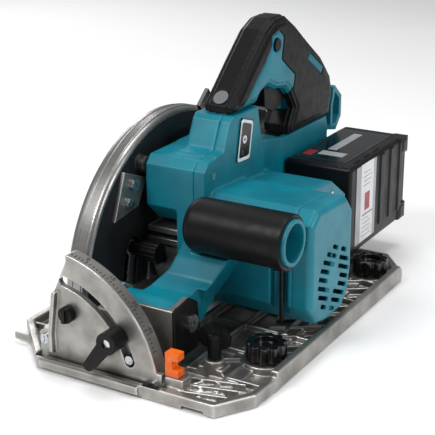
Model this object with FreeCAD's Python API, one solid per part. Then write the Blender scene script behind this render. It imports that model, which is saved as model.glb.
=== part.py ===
"""Cordless circular saw with a tilting base, swinging depth adjustment and a side-mounted motor.

Modelling frame, in millimetres: X = 0 is the blade plane and +X points to the motor, Y = 0 is the
arbor and +Y points to the rear, Z = 0 is the sole.  Each node is moved by DATUM when it is written,
so that the origin of the finished part lies on the sole's front strip, in line with the blade.
"""
import FreeCAD, Part
import math
import os

V = FreeCAD.Vector

# ---- blade and drive -------------------------------------------------------------------------
BLADE_R = 135.0
BLADE_T = 1.8
BLADE_TEETH = 24
BORE_R = 15.0
CUT_DEPTH = 97.0
ARBOR_Z = BLADE_R - CUT_DEPTH
SPINDLE_R = 8.0
GEAR_MODULE = 1.0
GEAR_TEETH = 50
PINION_TEETH = 10
GEAR_CENTRES = GEAR_MODULE * (GEAR_TEETH + PINION_TEETH) / 2
MOTOR_ANGLE = 131.8
MOTOR_Y = GEAR_CENTRES * math.cos(math.radians(MOTOR_ANGLE))
MOTOR_Z = ARBOR_Z + GEAR_CENTRES * math.sin(math.radians(MOTOR_ANGLE))
STATOR_R = 33.0
ROTOR_R = 16.5

# ---- fits ------------------------------------------------------------------------------------
RUN = 0.03          # radial running fit of a shaft
GAP = 0.4           # air between parts that move past each other
TEETH_GAP = 0.15    # short of the pitch circle, so that drawn teeth never meet

# ---- guards ----------------------------------------------------------------------------------
CASE_R = BLADE_R + 20.0
CASE_LEFT = -15.5
CASE_RIGHT = 8.5
CASE_WALL = 2.5
CASE_FLOOR = 36.0
GUARD_R = CASE_R - 8.0
GUARD_WALL = 2.0
GUARD_LEVER_R = 84.0
GUARD_LEVER_ANGLE = 153.7
HUB_R = 29.7
HUB_LUG = 8.0

# ---- base ------------------------------------------------------------------------------------
BASE_LEFT = -68.0
BASE_RIGHT = 195.0
FLOOR_T = 4.0
RIM_H = 12.0
RIM_W = 7.0
SIDE_RIM_H = 18.0
LEVER_PAD = 20.0        # top of the pad that the slide lever stands on
RIB_T = 3.0
SLOT_LEFT = -40.0
SLOT_RIGHT = 24.0
SLOT_FRONT = -(CASE_R + 13)
SLOT_REAR = CASE_R + 10
BASE_FRONT = SLOT_FRONT - 36
BASE_REAR = SLOT_REAR + 13
BAY_RIGHT = 72.0
KNOB_X = 167.0
KNOB_R = 18.5
KNOB_FRONT_Y = -103.0
KNOB_REAR_Y = 122.0
FENCE_X = 137.0
FENCE_Y = -142.0
RAIL_LEFT = 140.0
RAIL_W = 22.0
RAIL_DEPTH = 3.0

# ---- bevel quadrants -------------------------------------------------------------------------
BEVEL_MAX = 45.0
QUAD_R = 113.0
QUAD_BAND = 12.0
QUAD_SLOT_R = 87.5
REAR_QUAD_R = 84.0
REAR_BAND = 8.0
REAR_SLOT_R = 66.0
STUD_R = 4.0
STUD_ANGLE = 33.0
PIN_ANGLE = 18.0
WEB_T = 6.0
LEVER_TOP = 19.0
QUAD_Y = BASE_FRONT + 10
QUAD_DEPTH = 15.6
REAR_QUAD_Y = BASE_REAR - 4

# ---- depth swing -----------------------------------------------------------------------------
PIVOT_Y = QUAD_Y + 54
PIVOT_Z = 47.0
PIVOT_R = 5.0
DEPTH_MAX = 38.0
GUIDE_R = REAR_QUAD_Y - PIVOT_Y - 78
GUIDE_W = 22.0
GUIDE_LEFT = 12.0
GUIDE_T = 4.0
CLAMP_ANGLE = -3.0
ARM_LEFT = 43.0
ARM_RIGHT = 102.0

# ---- body ------------------------------------------------------------------------------------
SEAM_X = 70.0
BODY_LEFT = 18.0
BODY_WALL = 3.0
MOTOR_RIGHT = 172.0
COVER_RIGHT = 191.5
GEAR_CASE_RIGHT = 48.0
NECK_RIGHT = 82.0
NECK_TOP_LEFT = 40.0
NECK_TOP = 198.0
HANDLE_X = 62.5
HANDLE_W = 35.0
SKIN_T = 3.0
GRIP_Y = -92.0
GRIP_Z = 120.0
GRIP_R = 25.0
GRIP_LEFT = 90.0
GRIP_RIGHT = 188.0
BATTERY_W = 75.0
BATTERY_L = 146.0
BATTERY_H = 95.0
BATTERY_LEFT = 78.6
BATTERY_FRONT = 96.0
BATTERY_BOTTOM = 33.0
REAR_LEFT = 40.0
REAR_RIGHT = 77.0
REAR_FLOOR = 92.0
REAR_TOP = 150.0
REAR_END = 200.0

DATUM = V(0, -(BASE_FRONT + SLOT_FRONT) / 2, 0)

X_AXIS = V(1, 0, 0)
Y_AXIS = V(0, 1, 0)
Z_AXIS = V(0, 0, 1)


# ---- drawing helpers -------------------------------------------------------------------------
def box(x0, x1, y0, y1, z0, z1):
    return Part.makeBox(x1 - x0, y1 - y0, z1 - z0, V(x0, y0, z0))


def rod_x(x0, x1, y, z, r):
    return Part.makeCylinder(r, x1 - x0, V(x0, y, z), X_AXIS)


def rod_y(y0, y1, x, z, r):
    return Part.makeCylinder(r, y1 - y0, V(x, y0, z), Y_AXIS)


def rod_z(z0, z1, x, y, r):
    return Part.makeCylinder(r, z1 - z0, V(x, y, z0), Z_AXIS)


def tube_x(x0, x1, y, z, r_out, r_in):
    return rod_x(x0, x1, y, z, r_out).cut(rod_x(x0 - 1, x1 + 1, y, z, r_in))


def face(points, inset=0.0):
    wire = Part.makePolygon(points + [points[0]])
    plate = Part.Face(wire)
    if inset:
        plate = plate.makeOffset2D(-inset, 2)
    return plate


def side_plate(x0, x1, outline, inset=0.0):
    """Plate whose outline is given in (y, z), as thick as x0 to x1."""
    return face([V(x0, y, z) for y, z in outline], inset).extrude(V(x1 - x0, 0, 0))


def front_plate(y0, y1, outline, inset=0.0):
    """Plate whose outline is given in (x, z), as thick as y0 to y1."""
    return face([V(x, y0, z) for x, z in outline], inset).extrude(V(0, y1 - y0, 0))


def flat_plate(z0, z1, outline, inset=0.0):
    """Plate whose outline is given in (x, y), as thick as z0 to z1."""
    return face([V(x, y, z0) for x, y in outline], inset).extrude(V(0, 0, z1 - z0))


def polar(cy, cz, radius, degrees):
    angle = math.radians(degrees)
    return (cy + radius * math.cos(angle), cz + radius * math.sin(angle))


def wedge(cu, cv, radius, start, end):
    """Outline of a pie slice, in the two coordinates of the plane it is drawn in."""
    steps = max(2, int((end - start) / 15) + 1)
    reach = radius * 1.6
    rim = [polar(cu, cv, reach, start + (end - start) * i / steps) for i in range(steps + 1)]
    return [(cu, cv)] + rim


def arc_band_x(x0, x1, cy, cz, r_in, r_out, start, end):
    ring = tube_x(x0, x1, cy, cz, r_out, r_in)
    return ring.common(side_plate(x0, x1, wedge(cy, cz, r_out, start, end)))


def arc_slot_x(x0, x1, cy, cz, radius, half, start, end):
    slot = arc_band_x(x0, x1, cy, cz, radius - half, radius + half, start, end)
    for degrees in (start, end):
        slot = slot.fuse(rod_x(x0, x1, *polar(cy, cz, radius, degrees), half))
    return slot


def arc_slot_y(y0, y1, radius, half, start, end):
    """Slot round the bevel axis, which is X = 0, Z = 0."""
    ring = rod_y(y0, y1, 0, 0, radius + half).cut(rod_y(y0 - 1, y1 + 1, 0, 0, radius - half))
    slot = ring.common(front_plate(y0, y1, wedge(0, 0, radius, start, end)))
    for degrees in (start, end):
        slot = slot.fuse(rod_y(y0, y1, *polar(0, 0, radius, degrees), half))
    return slot


def joined(shapes):
    solid = shapes[0]
    for other in shapes[1:]:
        solid = solid.fuse(other)
    return solid.removeSplitter()


def apart(solids):
    return Part.makeCompound(solids)


def rounded(shape, radius, wanted):
    """Fillet the edges that the test picks."""
    edges = [edge for edge in shape.Edges if wanted(edge)]
    return shape.makeFillet(radius, edges)


def along_x(edge):
    box_ = edge.BoundBox
    return box_.YLength < 1e-6 and box_.ZLength < 1e-6


def hex_x(x0, x1, y, z, across):
    corners = [polar(y, z, across / math.sqrt(3), 60 * i) for i in range(6)]
    return side_plate(x0, x1, corners)


# ---- base ------------------------------------------------------------------------------------
BASE_OUTLINE = [
    (BASE_LEFT, BASE_FRONT + 56), (BASE_LEFT + 57, BASE_FRONT),
    (BASE_RIGHT - 23, BASE_FRONT + 2), (BASE_RIGHT - 2, BASE_FRONT + 35),
    (BASE_RIGHT, BASE_FRONT + 70), (BASE_RIGHT, BASE_REAR - 37),
    (BASE_RIGHT - 31, BASE_REAR), (BASE_LEFT + 20, BASE_REAR), (BASE_LEFT, BASE_REAR - 30),
]


def base_plate():
    sole = flat_plate(0, FLOOR_T, BASE_OUTLINE)
    rim = flat_plate(0, RIM_H, BASE_OUTLINE).cut(flat_plate(-1, RIM_H + 1, BASE_OUTLINE, RIM_W))
    side_rim = box(BASE_RIGHT - RIM_W, BASE_RIGHT, BASE_FRONT + 70, BASE_REAR - 40, 0, SIDE_RIM_H)
    pieces = [sole, rim, side_rim]
    inner = flat_plate(FLOOR_T - 1, RIM_H - 1, BASE_OUTLINE, RIM_W - 1)
    for y in range(-150, 160, 50):
        pieces.append(box(BAY_RIGHT + 4, BASE_RIGHT - 4, y, y + RIB_T, 0, RIM_H - 2))
    for x in (SLOT_LEFT - RIB_T, SLOT_RIGHT, 112.0, 152.0):
        top = RIM_H - 2
        pieces.append(box(x, x + RIB_T, BASE_FRONT + 30, BASE_REAR - 6, 0, top).common(inner))
    pieces.append(box(BAY_RIGHT, BAY_RIGHT + RIB_T + 2, SLOT_FRONT, SLOT_REAR, 0, RIM_H))
    pieces.append(box(RAIL_LEFT - 4, RAIL_LEFT + RAIL_W + 4, BASE_FRONT + 4, BASE_REAR - 4, 0, 7))
    for y in (KNOB_FRONT_Y, KNOB_REAR_Y):
        pieces.append(rod_z(0, RIM_H, KNOB_X, y, 9))
    pieces.append(rod_z(0, 20, FENCE_X, FENCE_Y, 9))
    pieces.append(box(FENCE_X - 12, FENCE_X + 12, FENCE_Y - 8, FENCE_Y + 8, 0, 14))
    pieces.append(box(-14, 6, QUAD_Y + WEB_T, QUAD_Y + WEB_T + 9, 0, 34))
    pieces.append(box(99, 117, QUAD_Y + WEB_T, QUAD_Y + WEB_T + 9, 0, RIM_H + 1.4))
    pieces.append(box(-14, 6, REAR_QUAD_Y - WEB_T - 2.6, REAR_QUAD_Y - WEB_T, 0, 30))
    pieces.append(box(76, 92, REAR_QUAD_Y - WEB_T - 6, REAR_QUAD_Y - WEB_T, 0, 20))
    pieces.append(box(118, 136, QUAD_Y + 2, QUAD_Y + 16, 0, LEVER_PAD))
    plate = joined(pieces)
    openings = [
        box(SLOT_LEFT, SLOT_RIGHT, SLOT_FRONT, SLOT_REAR, -1, 40),
        box(SLOT_RIGHT - 1, BAY_RIGHT, -115, 40, -1, 40),
        box(RAIL_LEFT, RAIL_LEFT + RAIL_W, BASE_FRONT - 1, BASE_REAR + 1, -1, RAIL_DEPTH),
        box(-15, 117.5, QUAD_Y - 8, QUAD_Y + WEB_T, FLOOR_T, 40),
        box(-15, 93, REAR_QUAD_Y - WEB_T, BASE_REAR + 1, FLOOR_T, 40),
        rod_y(QUAD_Y, QUAD_Y + 30, -6, 27, 2.5),
        rod_y(QUAD_Y, QUAD_Y + 30, 108, 9.5, 2.5),
        rod_y(REAR_QUAD_Y - 20, REAR_QUAD_Y, -6, 22, 2.5),
        rod_y(REAR_QUAD_Y - 20, REAR_QUAD_Y, 84, 13, 2.5),
        rod_z(6, 21, FENCE_X, FENCE_Y, 3.05),
    ]
    openings += [rod_z(3, 13, KNOB_X, y, 3.05) for y in (KNOB_FRONT_Y, KNOB_REAR_Y)]
    for opening in openings:
        plate = plate.cut(opening)
    return plate


def quadrant(r_out, band, slot_r, y_web, y_depth, left_top, foot_right, ear_z):
    """Sector plate that stands across the base, with a flange along its arc and an arc slot."""
    y0, y1 = sorted((y_web, y_web + math.copysign(WEB_T, y_depth)))
    f0, f1 = sorted((y_web, y_web + y_depth))
    half = STUD_R + 0.75
    reach = r_out * 1.1
    outline = [(0, FLOOR_T), (0, r_out * 0.31), left_top, (left_top[0] + 14, left_top[1] + 30),
               (left_top[0] + 14, reach), (reach, reach), (reach, FLOOR_T)]
    web = front_plate(y0, y1, outline).common(rod_y(y0, y1, 0, 0, r_out))
    arc = rod_y(f0, f1, 0, 0, r_out).cut(rod_y(f0 - 1, f1 + 1, 0, 0, r_out - band))
    arc = arc.common(front_plate(f0, f1, [(x, max(z, RIM_H + 2)) for x, z in outline]))
    ear = front_plate(y0, y1, [(-13, FLOOR_T), (-13, ear_z - 4), (-8, ear_z), (1, ear_z), (1, FLOOR_T)])
    foot = box(r_out - 22, foot_right, y0, y1, FLOOR_T, 21)
    plate = joined([web, arc, ear, foot])
    slot = arc_slot_y(y0 - 20, y1 + 20, slot_r, half, PIN_ANGLE - 1, STUD_ANGLE + BEVEL_MAX + 1)
    return plate.cut(slot)


STOP_X = 21.5
STOP_Z = 57.0
STOP_R = 7.5
STOP_H = 10.0


def front_quadrant():
    plate = quadrant(QUAD_R, QUAD_BAND, QUAD_SLOT_R, QUAD_Y, QUAD_DEPTH, (6, 75), 116, 36)
    edge = front_plate(QUAD_Y - 5, QUAD_Y, [(0, 16), (0, 35), (6, 75), (10, 75), (4, 35), (4, 16)])
    plate = joined([plate, edge])
    for x, z in ((-6, 27), (108, 9.5)):
        plate = plate.cut(rod_y(QUAD_Y - 1, QUAD_Y + 20, x, z, 2.6))
    return plate.cut(rod_y(QUAD_Y - 1, QUAD_Y + 20, STOP_X, STOP_Z, 4 + RUN))


def rear_quadrant():
    plate = quadrant(REAR_QUAD_R, REAR_BAND, REAR_SLOT_R, REAR_QUAD_Y, -WEB_T, (5, 50), 92, 30)
    for x, z in ((-6, 22), (84, 13)):
        plate = plate.cut(rod_y(REAR_QUAD_Y - 20, REAR_QUAD_Y + 1, x, z, 2.6))
    return plate


def pan_screw_y(y_head, x, z, toward, length, r=2.4):
    """Screw along Y whose head stands at y_head and whose shank runs toward +Y or -Y."""
    head = rod_y(min(y_head, y_head - toward * 3), max(y_head, y_head - toward * 3), x, z, r * 1.9)
    shank = rod_y(min(y_head, y_head + toward * length), max(y_head, y_head + toward * length), x, z, r)
    cross = box(x - 0.6, x + 0.6, y_head - toward * 3 - 1, y_head - toward * 3 + 1, z - 3, z + 3)
    return joined([head, shank]).cut(cross)


def quadrant_screws():
    front = [pan_screw_y(QUAD_Y, x, z, 1, 13) for x, z in ((-6, 27), (108, 9.5))]
    rear = [pan_screw_y(REAR_QUAD_Y, x, z, -1, 9) for x, z in ((-6, 22), (84, 13))]
    return apart(front + rear)


def positive_stopper():
    knob = rod_y(QUAD_Y - STOP_H + 3, QUAD_Y - GAP, STOP_X, STOP_Z, STOP_R)
    reach = STOP_R - 1
    ridge = box(STOP_X - 2, STOP_X + 2, QUAD_Y - STOP_H, QUAD_Y - 5, STOP_Z - reach, STOP_Z + reach)
    stem = rod_y(QUAD_Y - 1, QUAD_Y + WEB_T, STOP_X, STOP_Z, 4)
    return joined([knob, ridge, stem])


def slide_lever():
    foot = LEVER_PAD + GAP
    outline = [
        (118, foot), (118, foot + 22), (131, foot + 22), (131, foot + 15), (125, foot + 15),
        (125, foot + 7), (131, foot + 7), (131, foot)]
    return front_plate(QUAD_Y + 3, QUAD_Y + 13, outline)


def rail_knob(y):
    """Star knob with lobes round its rim, on a screw that bears on the guide rail."""
    z0 = RIM_H + GAP
    body = rod_z(z0, z0 + 15, KNOB_X, y, KNOB_R - 3)
    lobes = 10
    for i in range(lobes):
        x, y_lobe = polar(KNOB_X, y, KNOB_R - 4, 360 * i / lobes)
        body = body.fuse(rod_z(z0, z0 + 15, x, y_lobe, 4))
    cup = rod_z(z0 + 9, z0 + 16, KNOB_X, y, KNOB_R - 8)
    stem = rod_z(4, z0 + 1, KNOB_X, y, 3)
    return joined([body.cut(cup), stem])


def fence_bolt():
    shank = rod_z(8, 22, FENCE_X, FENCE_Y, 3)
    head = rod_z(20 + GAP, 42, FENCE_X, FENCE_Y, 6)
    wing = front_plate(FENCE_Y - 2, FENCE_Y + 2, [
        (FENCE_X, 26), (FENCE_X + 15, 34), (FENCE_X + 17, 44), (FENCE_X + 10, 50), (FENCE_X, 42),
        (FENCE_X - 10, 50), (FENCE_X - 17, 44), (FENCE_X - 15, 34)])
    return joined([shank, head, wing])


# ---- tilting frame ---------------------------------------------------------------------------
BRACKET_LEFT = ARM_LEFT - 1 - 7
BRACKET_RIGHT = ARM_RIGHT + 1 + 8


def front_bracket():
    """Casting behind the front quadrant: an inner lug for the studs and a fork for the pivot."""
    lug = front_plate(QUAD_Y + WEB_T + GAP, PIVOT_Y - 20, [
        (46, 18), (92, 18), (86, 44), (66, 66), (46, 66)])
    lug = lug.common(rod_y(QUAD_Y, PIVOT_Y, 0, 0, QUAD_R - QUAD_BAND - GAP))
    wall = box(BRACKET_LEFT, BRACKET_RIGHT, PIVOT_Y - 24, PIVOT_Y - 20 - GAP, 18, 66)
    cheeks = []
    for x0, x1 in ((BRACKET_LEFT, BRACKET_LEFT + 7), (BRACKET_RIGHT - 8, BRACKET_RIGHT)):
        cheeks.append(side_plate(x0, x1, [
            (PIVOT_Y - 24, 18), (PIVOT_Y + 14, 18), (PIVOT_Y + 18, 34),
            (PIVOT_Y + 14, 62), (PIVOT_Y + 2, 70), (PIVOT_Y - 24, 66)]))
    bracket = joined([lug, wall] + cheeks)
    bracket = bracket.cut(rod_x(0, 200, PIVOT_Y, PIVOT_Z, PIVOT_R))
    for degrees in (STUD_ANGLE, PIN_ANGLE):
        bracket = bracket.cut(rod_y(QUAD_Y, PIVOT_Y - 24, *polar(0, 0, QUAD_SLOT_R, degrees), STUD_R))
    return bracket


REAR_FACE = REAR_QUAD_Y - WEB_T - GAP
REAR_T = 9.0
REAR_LUG_REACH = 34.0   # the base's rear lug ends inside this radius of the tilt axis


def rear_bracket():
    outline = [(GUIDE_LEFT, 18), (71, 18), (66, 34), (50, 52), (30, 62), (GUIDE_LEFT, 62)]
    bracket = front_plate(REAR_FACE - REAR_T, REAR_FACE, outline)
    bracket = bracket.cut(rod_y(REAR_FACE - 20, REAR_FACE + 1, 0, 0, REAR_LUG_REACH))
    for degrees in (STUD_ANGLE, PIN_ANGLE):
        hole = rod_y(REAR_FACE - 20, REAR_FACE + 1, *polar(0, 0, REAR_SLOT_R, degrees), STUD_R)
        bracket = bracket.cut(hole)
    for z in GUIDE_SCREW_Z:
        bracket = bracket.cut(rod_y(REAR_FACE - 20, REAR_FACE + 1, GUIDE_LEFT + 16, z, 2.4))
    return bracket


GUIDE_SCREW_Z = (28.0, 48.0)
GUIDE_FOOT_Y = REAR_FACE - REAR_T - 4.0


def depth_guide():
    """Curved plate behind the arbor, struck from the pivot pin, with the slot of the depth clamp."""
    x0, x1 = GUIDE_LEFT, GUIDE_LEFT + GUIDE_T
    r_in, r_out = GUIDE_R - GUIDE_W / 2, GUIDE_R + GUIDE_W / 2
    band = arc_band_x(x0, x1, PIVOT_Y, PIVOT_Z, r_in, r_out, -7, DEPTH_MAX + 1.5)
    near_y = PIVOT_Y + GUIDE_R
    foot = side_plate(x0, x1, [(near_y - 6, 19), (GUIDE_FOOT_Y, 19), (GUIDE_FOOT_Y, 58), (near_y + 5, 58)])
    flange = box(x0, x0 + 24, GUIDE_FOOT_Y, GUIDE_FOOT_Y + 4, 20, 56)
    guide = joined([band, foot, flange])
    slot = arc_slot_x(x0 - 1, x1 + 1, PIVOT_Y, PIVOT_Z, GUIDE_R, 3.4, CLAMP_ANGLE, CLAMP_ANGLE + DEPTH_MAX)
    guide = guide.cut(slot)
    for z in GUIDE_SCREW_Z:
        guide = guide.cut(rod_y(GUIDE_FOOT_Y - 1, GUIDE_FOOT_Y + 6, x0 + 16, z, 2.4))
    return guide


def guide_screws():
    return apart([pan_screw_y(GUIDE_FOOT_Y, GUIDE_LEFT + 16, z, 1, 12, 2.35) for z in GUIDE_SCREW_Z])


def bevel_studs():
    """Two studs through each arc slot: the clamp stud and the plain pin that keeps the arc true."""
    solids = []
    for r, inner, web, outward in (
            (QUAD_SLOT_R, PIVOT_Y - 25, QUAD_Y, -1),
            (REAR_SLOT_R, REAR_FACE - REAR_T, REAR_QUAD_Y, 1)):
        for angle, end in ((STUD_ANGLE, web + outward * (LEVER_TOP - 2)), (PIN_ANGLE, web)):
            solids.append(rod_y(*sorted((inner, end)), *polar(0, 0, r, angle), STUD_R))
    return apart(solids)


def pivot_pin():
    pin = rod_x(BRACKET_LEFT, BRACKET_RIGHT + 3, PIVOT_Y, PIVOT_Z, PIVOT_R)
    head = rod_x(BRACKET_RIGHT, BRACKET_RIGHT + 4, PIVOT_Y, PIVOT_Z, PIVOT_R + 3)
    socket = hex_x(BRACKET_RIGHT + 1, BRACKET_RIGHT + 5, PIVOT_Y, PIVOT_Z, 6)
    return joined([pin, head]).cut(socket)


def clamp_lever_y(x, z, y_face, outward, hub_r, reach, drop):
    """Nut with a tapered lever that stands clear of the quadrant, turning about a stud along Y."""
    hub = rod_y(*sorted((y_face + outward * GAP, y_face + outward * LEVER_TOP)), x, z, hub_r)
    y0, y1 = sorted((y_face + outward * (STOP_H + 1.2), y_face + outward * LEVER_TOP))
    tip_x, tip_z = polar(x, z, reach, drop)
    side = V(-(tip_z - z), 0, tip_x - x)
    side.normalize()
    a0, a1 = side * (hub_r * 0.7), side * (hub_r * 0.5)
    arm = front_plate(y0, y1, [(x + a0.x, z + a0.z), (tip_x + a1.x, tip_z + a1.z),
                               (tip_x - a1.x, tip_z - a1.z), (x - a0.x, z - a0.z)])
    tip = rod_y(y0, y1, tip_x, tip_z, hub_r * 0.5)
    lever = joined([hub, arm, tip])
    return lever.cut(rod_y(y_face - 40, y_face + 40, x, z, STUD_R + RUN))


def front_bevel_lever():
    x, z = polar(0, 0, QUAD_SLOT_R, STUD_ANGLE)
    return clamp_lever_y(x, z, QUAD_Y, -1, 10, 32, 232)


def rear_bevel_lever():
    x, z = polar(0, 0, REAR_SLOT_R, STUD_ANGLE)
    return clamp_lever_y(x, z, REAR_QUAD_Y, 1, 9, 28, 205)


LUG_LEFT = GUIDE_LEFT + GUIDE_T + 1.2
LUG_T = 4.2
CLAMP_Y, CLAMP_Z = polar(PIVOT_Y, PIVOT_Z, GUIDE_R, CLAMP_ANGLE)


def depth_lever():
    x0 = LUG_LEFT + LUG_T + GAP
    hub = rod_x(x0, x0 + 12, CLAMP_Y, CLAMP_Z, 9)
    tip = polar(CLAMP_Y, CLAMP_Z, 40, 20)
    side = polar(0, 0, 6, 110)
    arm = side_plate(x0 + 2, x0 + 11, [
        (CLAMP_Y + side[0], CLAMP_Z + side[1]), (tip[0] + side[0], tip[1] + side[1]),
        (tip[0] - side[0], tip[1] - side[1]), (CLAMP_Y - side[0], CLAMP_Z - side[1])])
    return joined([hub, arm]).cut(rod_x(x0 - 1, x0 + 13, CLAMP_Y, CLAMP_Z, 3 + RUN))


def depth_clamp_bolt():
    head = rod_x(CASE_RIGHT + 0.9, GUIDE_LEFT - GAP, CLAMP_Y, CLAMP_Z, 7)
    shank = rod_x(GUIDE_LEFT - 1, LUG_LEFT + LUG_T + 14, CLAMP_Y, CLAMP_Z, 3)
    return joined([head, shank])


# ---- blade, spindle and rotor ----------------------------------------------------------------
FLANGE_R = 22.0
FLANGE_T = 2.0
GEAR_X = 30.0
GEAR_W = 8.0


def blade():
    disc = rod_x(-BLADE_T / 2, BLADE_T / 2, 0, ARBOR_Z, BLADE_R)
    pitch = 360 / BLADE_TEETH
    for i in range(BLADE_TEETH):
        start = i * pitch
        gullet = [polar(0, ARBOR_Z, BLADE_R + 2, start), polar(0, ARBOR_Z, BLADE_R - 11, start - 0.8),
                  polar(0, ARBOR_Z, BLADE_R - 11, start + 2.6), polar(0, ARBOR_Z, BLADE_R - 3, start + 6.5),
                  polar(0, ARBOR_Z, BLADE_R + 2, start + 9.5)]
        disc = disc.cut(side_plate(-2, 2, gullet))
    return disc.cut(rod_x(-2, 2, 0, ARBOR_Z, BORE_R))


def blade_flanges():
    """Two clamping flanges and the ring that fills the blade's bore."""
    inner = tube_x(BLADE_T / 2, BLADE_T / 2 + FLANGE_T, 0, ARBOR_Z, FLANGE_R, SPINDLE_R)
    outer = tube_x(-BLADE_T / 2 - 2.5, -BLADE_T / 2, 0, ARBOR_Z, FLANGE_R, 5)
    ring = tube_x(-BLADE_T / 2, BLADE_T / 2, 0, ARBOR_Z, BORE_R, SPINDLE_R)
    return apart([joined([inner, ring]), outer])


def blade_bolt():
    head = hex_x(-BLADE_T / 2 - 7.6, -BLADE_T / 2 - 3.4, 0, ARBOR_Z, 14)
    washer = rod_x(-BLADE_T / 2 - 3.4, -BLADE_T / 2 - 2.5, 0, ARBOR_Z, 9)
    shank = rod_x(-BLADE_T / 2 - 3, 16, 0, ARBOR_Z, 4)
    return joined([head, washer, shank])


def spindle():
    shaft = rod_x(-BLADE_T / 2, GEAR_X + GEAR_W + 8, 0, ARBOR_Z, SPINDLE_R)
    return shaft.cut(rod_x(-5, 16, 0, ARBOR_Z, 4))


def toothed_x(x0, x1, y, z, teeth, pitch_r, turn):
    """Straight gear with short teeth, cut back from the pitch circle."""
    tip = pitch_r - TEETH_GAP
    wheel = rod_x(x0, x1, y, z, tip)
    step = 360 / teeth
    for i in range(teeth):
        middle = turn + i * step
        notch = [polar(y, z, tip + 1, middle - step * 0.3), polar(y, z, tip - 1.2, middle - step * 0.14),
                 polar(y, z, tip - 1.2, middle + step * 0.14), polar(y, z, tip + 1, middle + step * 0.3)]
        wheel = wheel.cut(side_plate(x0 - 1, x1 + 1, notch))
    return wheel


def drive_gear():
    radius = GEAR_MODULE * GEAR_TEETH / 2
    wheel = toothed_x(GEAR_X, GEAR_X + GEAR_W, 0, ARBOR_Z, GEAR_TEETH, radius, 0)
    return wheel.cut(rod_x(GEAR_X - 1, GEAR_X + GEAR_W + 1, 0, ARBOR_Z, SPINDLE_R))


SHAFT_R = 4.0
STATOR_X0 = 74.0
STATOR_X1 = 128.0
FAN_X = 136.0
REAR_BEARING_X = 164.0


def rotor():
    radius = GEAR_MODULE * PINION_TEETH / 2
    pinion = toothed_x(GEAR_X - 1, GEAR_X + GEAR_W + 3, MOTOR_Y, MOTOR_Z, PINION_TEETH, radius, 18)
    shaft = rod_x(GEAR_X + GEAR_W + 2, REAR_BEARING_X + 6, MOTOR_Y, MOTOR_Z, SHAFT_R)
    magnet = rod_x(STATOR_X0 + 2, STATOR_X1 - 2, MOTOR_Y, MOTOR_Z, ROTOR_R)
    return joined([pinion, shaft, magnet])


def fan():
    hub = tube_x(FAN_X, FAN_X + 12, MOTOR_Y, MOTOR_Z, 9, SHAFT_R)
    plate = tube_x(FAN_X, FAN_X + 2, MOTOR_Y, MOTOR_Z, 30, 8)
    pieces = [hub, plate]
    for i in range(11):
        vane = box(FAN_X, FAN_X + 12, MOTOR_Y + 8, MOTOR_Y + 30, MOTOR_Z - 0.8, MOTOR_Z + 0.8)
        vane.rotate(V(0, MOTOR_Y, MOTOR_Z), X_AXIS, 360 * i / 11)
        pieces.append(vane)
    return joined(pieces)


def stator():
    ring = tube_x(STATOR_X0, STATOR_X1, MOTOR_Y, MOTOR_Z, STATOR_R, STATOR_R - 6)
    pieces = [ring]
    for i in range(6):
        tooth = box(STATOR_X0, STATOR_X1, MOTOR_Y + ROTOR_R + 0.8, MOTOR_Y + STATOR_R - 3,
                    MOTOR_Z - 5, MOTOR_Z + 5)
        tooth.rotate(V(0, MOTOR_Y, MOTOR_Z), X_AXIS, 60 * i)
        pieces.append(tooth)
    return joined(pieces)


SPINDLE_BEARINGS = ((7.0, 16.0, 16.0), (GEAR_X + GEAR_W + 1, GEAR_X + GEAR_W + 7, 13.0))


def bearings():
    rings = [tube_x(x0, x1, 0, ARBOR_Z, r, SPINDLE_R + RUN) for x0, x1, r in SPINDLE_BEARINGS]
    front = tube_x(GEAR_CASE_RIGHT - 5, GEAR_CASE_RIGHT + 2, MOTOR_Y, MOTOR_Z, 11, SHAFT_R + RUN)
    rear = tube_x(REAR_BEARING_X, REAR_BEARING_X + 6, MOTOR_Y, MOTOR_Z, 9.5, SHAFT_R + RUN)
    return apart(rings + [front, rear])


# ---- guards ----------------------------------------------------------------------------------
def blade_case():
    """Cast upper guard: a D-shaped shell open at the bottom, bored for the gear case's boss."""
    shell = rod_x(CASE_LEFT, CASE_RIGHT, 0, ARBOR_Z, CASE_R)
    shell = rounded(shell, 6, lambda edge: abs(edge.BoundBox.XLength) < 1e-6)
    hollow = rod_x(CASE_LEFT + CASE_WALL, CASE_RIGHT - CASE_WALL, 0, ARBOR_Z, CASE_R - 4)
    shell = shell.cut(hollow)
    shell = shell.common(box(-50, 50, -200, 200, CASE_FLOOR, 300))
    shell = shell.cut(rod_x(0, 20, 0, ARBOR_Z, HUB_R + 3.3))
    boss = rod_x(CASE_RIGHT, BODY_LEFT, -62, 156, 8)
    rear_boss = rod_x(CASE_RIGHT, BODY_LEFT, 30, 150, 8)
    shell = joined([shell, boss, rear_boss])
    reach = HUB_LUG + 2
    lever_slot = arc_slot_x(0, 12, 0, ARBOR_Z, GUARD_LEVER_R, reach, GUARD_LEVER_ANGLE,
                            GUARD_LEVER_ANGLE + 40)
    shell = shell.cut(lever_slot)
    return shell.cut(rod_y(100, 120, NOZZLE_X, NOZZLE_Z, NOZZLE_R - 3))


NOZZLE_X = -4.0
NOZZLE_Z = 140.0
NOZZLE_R = 11.0


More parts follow.
